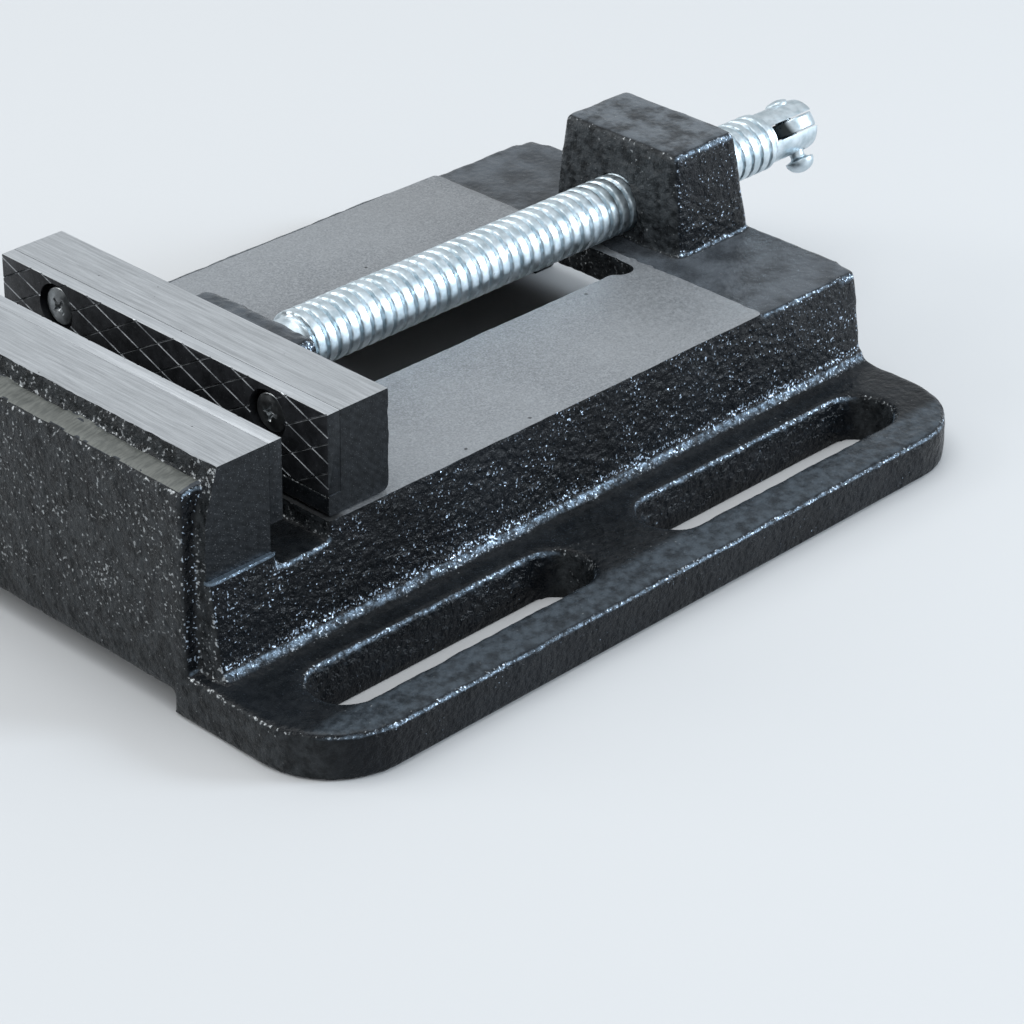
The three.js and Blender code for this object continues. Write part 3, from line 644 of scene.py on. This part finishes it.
def make_body():
    o = copy_of("vise_body", "vise_casting")
    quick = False
    # stock left on the faces that are machined afterwards
    me = o.data
    c = coords(me)
    x, y, z = c.T.copy()
    ways = (np.abs(z - WAYS_TOP) < 0.05) & (x > WAYS_X0 - 0.1) & (x < WAYS_X1 + 0.1)
    c[ways, 2] += 1.0
    c[(np.abs(z - FIXED_TOP) < 0.5) & (x < -99), 2] += 1.0
    flank = (np.abs(np.abs(y) - JAW_HALF) < 0.05) & (z > 31.3) & (x < -99) & (x > -117)
    c[flank, 1] += np.sign(y[flank]) * 1.0
    seat = (np.abs(x - FIXED_BACK) < 0.05) & (np.abs(y) < JAW_HALF + 0.05) & (z > 28.5)
    c[seat, 0] += 1.0
    rad = np.hypot(y, z - 40)
    bore = (np.abs(rad - 7.3) < 0.12) & (x > 50)
    c[bore, 1] *= 0.8
    c[bore, 2] = 40 + (c[bore, 2] - 40) * 0.8
    set_coords(me, c)
    remesh(o, 1.0 if quick else 0.62)
    me = o.data
    c = coords(me)
    e = edges_of(me)
    x, y, z = c.T
    w = np.where(z < 0.9, 0.04, 1.0)
    c = relax(c, e, w, 3 if quick else 6, 0.5)
    x, y, z = c.T
    # the upright corners at the back are rounder
    corner = (np.hypot(x - 78.6, np.abs(y) - 52.0) < 6.5) & (z > 13)
    c = relax(c, e, np.where(corner, 1.0, 0.0), 25, 0.6)
    set_coords(me, c)
    nrm = vertex_normals(me)
    x, y, z = c.T
    big = lattice_noise(c, 6.5, 1) * 0.15 + lattice_noise(c, 2.8, 2) * 0.10
    if not quick:
        big = big + lattice_noise(c, 1.5, 3) * 0.07
    calm = 1 - 0.55 * smoothstep(nrm[:, 2], 0.8, 0.97)
    # rough skin: the cast end of the guide slot, the fixed jaw's nose and the step behind its ledge
    end = (x > 35) & (x < 46) & (np.abs(y) < 20) & (z > 24) & (z < 34)
    nose = (x < -112.3) & (x > -120.5) & (z > 49.5) & (z < 56.2)
    amp = big * calm + lattice_noise(c, 1.7, 5) * (0.34 * end + 0.16 * nose)
    wd = np.where(z < 0.9, 0.0, 1.0)
    c = c + nrm * (amp * wd)[:, None]
    x, y, z = c.T
    # ragged groove at the back of the ledge
    g = np.exp(-(((x + 113.9 + 0.4 * lattice_noise(c, 5.0, 8)) / 0.55) ** 2)) * (z > 50.6) * (z < 53.2) * (np.abs(y) < 46.8)
    c[:, 2] -= 0.75 * g
    # faint upright seam on the near and far walls and the fold at the foot of the nut block
    seam = np.exp(-(((x + 95.9 - 0.12 * (z - 20)) / 0.6) ** 2)) * smoothstep(z, 13.5, 15.5) * (1 - smoothstep(z, 26, 28.5)) * (np.abs(y) > 49)
    c[:, 1] += np.sign(y) * 0.28 * seam
    fold = np.array([(-5.2, 44.6), (-6.6, 41.8), (-8.4, 39.2), (-9.6, 36.4), (-9.4, 33.4)])
    near_face = (x > 51.0) & (x < 54.5) & (z > 32) & (z < 46) & (y < 0)
    dmin = np.full(len(c), 9.0)
    for (y0, z0), (y1, z1) in zip(fold[:-1], fold[1:]):
        d0 = np.array([y1 - y0, z1 - z0])
        t = np.clip(((y - y0) * d0[0] + (z - z0) * d0[1]) / (d0 @ d0), 0, 1)
        dmin = np.minimum(dmin, np.hypot(y - y0 - t * d0[0], z - z0 - t * d0[1]))
    c[:, 0] -= np.where(near_face, 0.55 * np.exp(-((dmin / 0.55) ** 2)) + 0.35 * np.exp(-((dmin / 2.2) ** 2)), 0)
    c[:, 2] = np.maximum(c[:, 2], 0.0)
    c[z < 0.25, 2] = 0.0
    set_coords(me, c)
    # machining
    boolean(o, box_object(-95, 48.5, -72, 72, WAYS_TOP, 36.5))
    boolean(o, box_object(-116, -98, -72, 72, FIXED_TOP, 60))
    boolean(o, box_object(FIXED_BACK, -97.4, -50.6, 50.6, 29.3, 60))
    boolean(o, lathe_x("bore", [(44.0, 7.12), (84.0, 7.12)], [], 96, 0, 40))
    for sg in (-1, 1):
        boolean(o, box_object(-118.5, -98, *sorted((sg * JAW_HALF, sg * 56)), 31.68, 60))
    decimate(o, 60000 if quick else 196000)
    me = o.data
    while len(me.materials):
        me.materials.pop()
    for mt in (M_ENAMEL, M_WAYS, M_TOP, M_SIDE, M_LEDGE):
        me.materials.append(mt)
    nor, cen = face_data(me)
    idx = np.zeros(len(nor), np.int32)
    fx, fy, fz = cen.T
    behind = (fx > 41.8) & (np.abs(fy) < 18.2)
    idx[(nor[:, 2] > 0.98) & (np.abs(fz - WAYS_TOP) < 0.03) & (fx > WAYS_X0 - 2) & (fx < 48) & ~behind] = 1
    idx[(nor[:, 2] > 0.98) & (np.abs(fz - FIXED_TOP) < 0.03) & (fx < -90)] = 2
    idx[(np.abs(nor[:, 1]) > 0.95) & (np.abs(np.abs(fy) - JAW_HALF) < 0.04) & (fz > 31.6) & (fx < -99)] = 3
    idx[(nor[:, 0] > 0.95) & (np.abs(fx - FIXED_BACK) < 0.05) & (fz > 29)] = 3
    idx[(nor[:, 2] > 0.9) & (fx < -114.2) & (fx > -119.3) & (fz > 50.2) & (fz < 52.6) & (np.abs(fy) < 46.0)] = 4
    me.polygons.foreach_set("material_index", idx)
    shade(o, 38)
    return o


body = make_body()
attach(body, "base")
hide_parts("vise_body")

# ---- moving jaw ----
PLATE_T, PLATE_H, SCREW_Y, DROP = 3.1, 18.0, 32.6, 6.4
MOVING_TOP, MOVING_HALF, MOVING_REAR = 55.8, 50.0, -67.9
FIXED_FACE, MOVING_FACE = -96.4, -84.3


def make_moving():
    o = copy_of("moving_jaw", "moving_jaw_casting")
    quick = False
    c = coords(o.data)
    lip = np.abs(c[:, 0] + 83.7) < 0.1
    c[lip, 0] = MOVING_FACE + 0.05
    set_coords(o.data, c)
    # stock on the machined faces, cut back once the casting is rounded off
    c = coords(o.data)
    x, y, z = c.T.copy()
    c[z > MOVING_TOP - 0.05, 2] += 0.8
    c[np.abs(np.abs(y) - MOVING_HALF) < 0.05, 1] += np.sign(y[np.abs(np.abs(y) - MOVING_HALF) < 0.05]) * 0.8
    seat = (np.abs(x + 80.9) < 0.05) & (z > 36)
    c[seat, 0] -= 0.5
    set_coords(o.data, c)
    remesh(o, 0.7 if quick else 0.42)
    me = o.data
    c = coords(me)
    e = edges_of(me)
    c = relax(c, e, np.ones(len(c)), 3 if quick else 5, 0.5)
    set_coords(me, c)
    nrm = vertex_normals(me)
    x, y, z = c.T
    hub = (x > MOVING_REAR - 0.2) & (z < 51.5) & (z > 33.5)
    amp = lattice_noise(c, 4.5, 11) * 0.16 + lattice_noise(c, 1.6, 12) * 0.19
    hubw = np.where(hub, 1.0, 0.0) * smoothstep(np.hypot(y, z - 40), 6.5, 7.6)
    foot = (z < 34.2) & (x > -84.8) & (np.abs(y) > 16)
    c = c + nrm * (amp * hubw + lattice_noise(c, 2.2, 13) * 0.12 * foot)[:, None]
    c[:, 2] = np.maximum(c[:, 2], np.where(np.abs(y) > 15, 32.85, -1))
    set_coords(me, c)
    boolean(o, box_object(-90, -50, -60, 60, MOVING_TOP, 60))
    for sg in (-1, 1):
        boolean(o, box_object(-90, -60, *sorted((sg * MOVING_HALF, sg * 56)), 20, 60))
    boolean(o, box_object(-83.2, -80.9, -60, 60, MOVING_TOP - PLATE_H - 0.15, 60))
    decimate(o, 30000 if quick else 90000)
    me = o.data
    while len(me.materials):
        me.materials.pop()
    for mt in (M_ENAMEL, M_TOP, M_SIDE, M_STRIP):
        me.materials.append(mt)
    nor, cen = face_data(me)
    idx = np.zeros(len(nor), np.int32)
    fx, fy, fz = cen.T
    idx[(nor[:, 2] > 0.95) & (fz > MOVING_TOP - 0.12)] = 1
    idx[(np.abs(nor[:, 1]) > 0.9) & (np.abs(np.abs(fy) - MOVING_HALF) < 0.1)] = 2
    idx[(nor[:, 0] < -0.9) & (fx < -80)] = 2
    idx[(nor[:, 0] > 0.9) & (np.abs(fx - MOVING_REAR) < 0.3) & (fz > 34)] = 2
    me.polygons.foreach_set("material_index", idx)
    shade(o, 38)
    return o


jaw = make_moving()
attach(jaw, "jaw")
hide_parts("moving_jaw")

# ---- jaw plates ----


def groove_tool(face, d, y0, z0, slope, half_w=0.2, depth=0.26):
    """A long V-shaped bar lying in the plate face along z - z0 = slope * (y - y0)."""
    length = math.hypot(1, slope)
    ty, tz = 1 / length, slope / length
    ny, nz = -tz, ty
    L = 70
    verts = []
    for s in (-L, L):
        cy, cz = y0 + ty * s, z0 + tz * s
        for a, b in ((-half_w * 1.6, 0.18), (half_w * 1.6, 0.18), (0, -depth)):
            verts.append((face + d * b, cy + ny * a, cz + nz * a))
    faces = [(0, 1, 2), (3, 5, 4), (0, 3, 4, 1), (1, 4, 5, 2), (2, 5, 3, 0)]
    o = new_object("groove", np.array(verts) * MM, faces, [M_SCRIBED])
    fix_normals(o)
    return o


def make_plate(name, node, body_name, face, d, half, top, hatch):
    back = face - d * (PLATE_T + 0.26)
    o = box_object(min(face, back), max(face, back), -half, half, top - PLATE_H, top, [M_PLATE])
    o.name = name
    o.data.name = name
    o = bevel(o, 0.1, segments=2)
    zc = top - DROP
    for s in (-1, 1):
        for r, a, b in ((5.3, face + d, face - d * 2.2), (2.6, face + d, back - d)):
            boolean(o, lathe_x("bore", [(min(a, b), r), (max(a, b), r)], [M_PLATE], 96, s * SCREW_Y, zc))
    if hatch:
        lines = []
        for k in range(-8, 18):
            lines.append((0.0, 35.8 + 5.72 * k, 0.386))
        for k in range(-8, 16):
            lines.append((0.0, 53.15 + 6.5 * k, -0.577))
        lo, hi = top - PLATE_H, top
        for y0, z0, slope in lines:
            # line z = z0 + slope * y must cross the plate
            za, zb = z0 - slope * half, z0 + slope * half
            if max(za, zb) < lo or min(za, zb) > hi:
                continue
            boolean(o, groove_tool(face, d, y0, z0, slope))
    me = o.data
    while len(me.materials):
        me.materials.pop()
    for mt in (M_PLATE, M_SCRIBED, M_STRIP, M_SIDE):
        me.materials.append(mt)
    nor, cen = face_data(me)
    idx = np.zeros(len(nor), np.int32)
    slanted = (np.abs(nor[:, 0]) < 0.97) & (np.abs(nor[:, 0]) > 0.3)
    inset = (np.abs(cen[:, 0] - face) < 0.33) & (np.abs(cen[:, 1]) < half - 0.3) & (cen[:, 2] < top - 0.3) & (cen[:, 2] > top - PLATE_H + 0.3)
    idx[slanted & inset] = 1
    idx[(nor[:, 2] > 0.6) & (cen[:, 2] > top - 0.3)] = 2
    idx[(np.abs(nor[:, 1]) > 0.6) & (np.abs(cen[:, 1]) > half - 0.3)] = 3
    me.polygons.foreach_set("material_index", idx)
    shade(o, 25)
    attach(o, body_name)
    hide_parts(node)
    return o


make_plate("fixed_plate", "fixed_jaw_plate", "base", FIXED_FACE, 1, JAW_HALF, FIXED_TOP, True)
make_plate("moving_plate", "moving_jaw_plate", "jaw", MOVING_FACE, -1, MOVING_HALF, MOVING_TOP, True)


def make_plate_screw(name, node, body_name, face, d, y, z, turn):
    """Pan head with a cross recess; d is the way the head looks along X."""
    head = 1.2
    prof = []
    for k in range(13):  # domed top
        t = k / 12
        r = 3.85 * t
        prof.append((0.33 * t * t, r))
    for k in range(1, 7):  # rolled rim
        a = math.pi / 2 * k / 6
        prof.append((0.33 + 0.42 * (1 - math.cos(a)), 3.85 + 0.4 * math.sin(a)))
    prof += [(head - 0.15, 4.25), (head, 4.1), (head, 2.3), (9.4, 2.3), (10.2, 1.5)]
    top = face - d * 0.62
    pts = [(top - d * px, r) for px, r in prof]
    o = lathe_x(name, pts, [M_GUN], 72, y, z)
    n = 4
    # tapered cross: two crossed wedges and a central cone
    for k in range(2):
        a = turn + k * math.pi / 2
        ca, sa = math.cos(a), math.sin(a)
        vs = []
        for depth, L, W in ((-0.4, 2.35, 0.52), (0.85, 1.35, 0.3)):
            for su, sv in ((-1, -1), (1, -1), (1, 1), (-1, 1)):
                u, v = su * L, sv * W
                vs.append((top - d * depth, y + u * ca - v * sa, z + u * sa + v * ca))
        f = [(0, 1, 2, 3), (4, 7, 6, 5), (0, 4, 5, 1), (1, 5, 6, 2), (2, 6, 7, 3), (3, 7, 4, 0)]
        t = new_object("cross", np.array(vs) * MM, f, [M_GUN])
        fix_normals(t)
        boolean(o, t)
    cone = lathe_x("cone", sorted([(top + d * 0.4, 1.25), (top - d * 0.95, 0.45)]), [M_GUN], 24, y, z)
    boolean(o, cone)
    bevel(o, 0.06, 40, 1)
    while len(o.data.materials) > 1:
        o.data.materials.pop()
    shade(o, 32)
    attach(o, body_name)
    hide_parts(node)
    return o


for side, s, t1, t2 in (("near", -1, 0.35, 0.12), ("far", 1, 1.0, 0.75)):
    make_plate_screw(f"fixed_screw_{side}", f"fixed_plate_screw_{side}", "base", FIXED_FACE, 1, s * SCREW_Y, FIXED_TOP - DROP, t1)
    make_plate_screw(f"moving_screw_{side}", f"moving_plate_screw_{side}", "jaw", MOVING_FACE, -1, s * SCREW_Y, MOVING_TOP - DROP, t2)

# ---- lead screw with its rolled thread ----
SCREW_Z, TILT, PIVOT_X = 40.0, -0.6064, 112.9
THREAD_X0, THREAD_X1, THREAD_R, PITCH_MM = -47.7, 102.4, 7.0, 3.25
CT, ST = math.cos(TILT), math.sin(TILT)


def to_row(o):
    """From the fork's frame (x along the screw, y along the lever, z along the rivet) to the row frame."""
    o.data.transform(Matrix.Translation((0, 0, SCREW_Z * MM)) @ Matrix.Rotation(TILT, 4, "X"))
    o.data.update()
    return o


def thread_depth(u):
    """Depth in mm of the rolled thread at phase u: broad crowned crest, narrow root."""
    g = np.abs(u - np.round(u))
    return 0.84 * (1 - smoothstep(g, 0.035, 0.17)) + 0.2 * ((0.5 - g) / 0.5) ** 2.4


def make_screw():
    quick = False
    segs = 48 if quick else 72
    dx = 0.4 if quick else 0.2
    th = np.arange(segs) * 2 * math.pi / segs
    rings = []

    def ring(x, r):
        r = np.broadcast_to(r, th.shape)
        rings.append(np.stack([np.full(segs, x), r * np.cos(th), r * np.sin(th)], 1))

    for x, r in (
        (-64.9, 5.0), (-64.6, 5.5), (-64.1, 5.8), (-62.35, 5.8), (-62.25, 5.7), (-62.25, 4.5), (-59.35, 4.5),
        (-59.35, 5.7), (-59.25, 5.8), (-52.0, 5.8), (THREAD_X0 - 0.9, 5.8),
    ):
        ring(x, r)
    x = THREAD_X0 - 0.8
    while x <= THREAD_X1 + 1e-9:
        u = x / PITCH_MM - th / (2 * math.pi)
        start = smoothstep(np.array(x), THREAD_X0 - 1.0, THREAD_X0 + 0.5)
        end = 1 - smoothstep(np.array(x), THREAD_X1 - 1.2, THREAD_X1 + 0.4)
        crest = 5.8 + (THREAD_R - 5.8) * start
        crest = FORK_R + (crest - FORK_R) * end if x > 50 else crest
        r = crest - thread_depth(u) * start * end
        r = np.maximum(r, 5.8)
        ring(x, r)
        x += dx
    for x, r in ((THREAD_X1 + 0.5, FORK_R), (116.2, FORK_R), (117.1, FORK_R - 0.12), (117.7, FORK_R - 0.5), (118.0, FORK_R - 1.1)):
        ring(x, r)
    o = grid_solid("lead_screw_threaded", rings, [M_ZINC])
    fix_normals(o)
    boolean(o, box_object(102.8, 119.5, -9, 9, -2.05, 2.05))
    hole = []
    for zz in (-9.0, 9.0):
        hole.append([(PIVOT_X + 2.3 * math.cos(t), 2.3 * math.sin(t), zz) for t in np.linspace(0, 2 * math.pi, 48, endpoint=False)])
    t = grid_solid("hole", hole, [])
    fix_normals(t)
    boolean(o, t)
    to_row(o)
    shade(o, 40)
    return o


FORK_R = 6.2
screw = make_screw()
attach(screw, "screw")
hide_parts("lead_screw")


def lathe_local(name, prof, axis, mats, segs=56):
    """Profile of (along, r) turned about the fork frame's rivet axis ('z') or lever axis ('y') through the pivot."""
    rings = []
    for a, r in prof:
        r = max(r, 0.003)
        ring = []
        for j in range(segs):
            t = 2 * math.pi * j / segs
            if axis == "z":
                ring.append((PIVOT_X + r * math.cos(t), r * math.sin(t), a))
            else:
                ring.append((PIVOT_X + r * math.cos(t), a, r * math.sin(t)))
        rings.append(ring)
    o = grid_solid(name, rings, mats)
    fix_normals(o)
    return o


def make_rivet():
    prof = []
    R, H, rim = 3.5, 2.85, -8.2
    for k in range(15):  # dome, seen from below
        a = math.pi / 2 * k / 14
        prof.append((rim - H * math.cos(a), R * math.sin(a)))
    prof += [(rim + 0.16, 3.44), (rim + 0.26, 3.2), (rim + 0.34, 2.7), (rim + 0.5, 2.2), (rim + 0.8, 1.85), (rim + 1.3, 1.75), (-6.3, 1.8), (-5.9, 2.0)]
    prof += [(5.1, 2.0), (5.2, 2.72), (6.2, 2.74), (6.5, 2.62), (6.78, 2.3), (6.98, 1.7), (7.1, 0.9), (7.12, 0.4)]
    o = lathe_local("rivet_loose", prof, "z", [M_ZINC])
    # hammered end is a little uneven
    me = o.data
    c = coords(me)
    up_end = c[:, 2] > 6.3
    d = lattice_noise(c * 1.0, 1.8, 21) * 0.12
    c[up_end, 2] += d[up_end]
    set_coords(me, c)
    to_row(o)
    tool = bpy.data.objects.new("fork", screw.data.copy())
    bpy.context.scene.collection.objects.link(tool)
    boolean(o, tool)
    while len(o.data.materials) > 1:
        o.data.materials.pop()
    o.data.polygons.foreach_set("material_index", np.zeros(len(o.data.polygons), np.int32))
    shade(o, 40)
    return o


rivet = make_rivet()
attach(rivet, "screw")
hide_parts("lever_rivet")


def make_lever():
    o = copy_of("folding_lever", "folding_lever_forged")
    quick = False
    remesh(o, 0.45 if quick else 0.24)
    me = o.data
    c = coords(me)
    e = edges_of(me)
    c = relax(c, e, np.ones(len(c)), 5 if quick else 10, 0.5)
    set_coords(me, c)
    nrm = vertex_normals(me)
    c = c + nrm * (lattice_noise(c, 5.0, 31) * 0.05 + lattice_noise(c, 2.0, 32) * 0.02)[:, None]
    set_coords(me, c)
    decimate(o, 16000 if quick else 60000)
    o.data.materials.append(M_LEVER)
    shade(o, 45)
    return o


lever = make_lever()
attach(lever, "lever")
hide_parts("folding_lever")

# ---- CAD nodes that stay, with finished materials and broken edges ----
for name, mat, width in (
    ("keeper_plate", M_DARK, 0.35), ("keeper_bolt_front", M_GUN, 0.2), ("keeper_bolt_rear", M_GUN, 0.2),
    ("spring_washer_front", M_ZINC, 0.15), ("spring_washer_rear", M_ZINC, 0.15),
    ("retaining_pin_near", M_ZINC, 0.1), ("retaining_pin_far", M_ZINC, 0.1),
):
    o = nodes[name]
    if not o.material_slots:
        o.data.materials.append(mat)
    for sl in o.material_slots:
        sl.material = mat
    md = o.modifiers.new("weld", "WELD")
    md.merge_threshold = 0.000002
    md = o.modifiers.new("edge", "BEVEL")
    md.width = width * MM
    md.segments = 2
    md.limit_method = "ANGLE"
    md.angle_limit = math.radians(35)

# ---- stage: plain pale floor and soft studio light ----
def make_floor():
    s = 3.0
    o = new_object("floor", [(-s, -s, 0), (s, -s, 0), (s, s, 0), (-s, s, 0)], [(0, 1, 2, 3)], [])
    m = Mat("floor_paint")
    m.set("Base Color", (0.56, 0.57, 0.58, 1))
    m.b.inputs["Roughness"].default_value = 0.6
    m.b.inputs["Specular IOR Level"].default_value = 0.3
    o.data.materials.append(m.m)
    return o


make_floor()

world = bpy.data.worlds.new("studio")
bpy.context.scene.world = world
world.use_nodes = True
bg = world.node_tree.nodes["Background"]
bg.inputs["Color"].default_value = (0.93, 0.97, 1.0, 1)
bg.inputs["Strength"].default_value = 0.72


def area(name, pos, target, size, power, color=(1, 1, 1), size_y=None):
    d = bpy.data.lights.new(name, "AREA")
    d.shape = "RECTANGLE"
    d.size = size
    d.size_y = size_y or size
    d.energy = power
    d.color = color
    o = bpy.data.objects.new(name, d)
    bpy.context.scene.collection.objects.link(o)
    o.location = pos
    o.rotation_euler = (Vector(target) - Vector(pos)).to_track_quat("-Z", "Y").to_euler()
    return o


area("key_right", (1.05, -1.15, 0.62), (0, 0, 0.02), 0.45, 20.5, (0.80, 0.90, 1.0))
area("left_back", (-0.95, 1.0, 0.75), (0, 0, 0.02), 0.8, 6.5, (1.0, 1.0, 0.99))
area("overhead", (-0.2, 0.12, 1.5), (0, 0, 0.02), 1.2, 11.8, (0.97, 0.985, 1.0))

bpy.context.scene.view_settings.view_transform = "Standard"
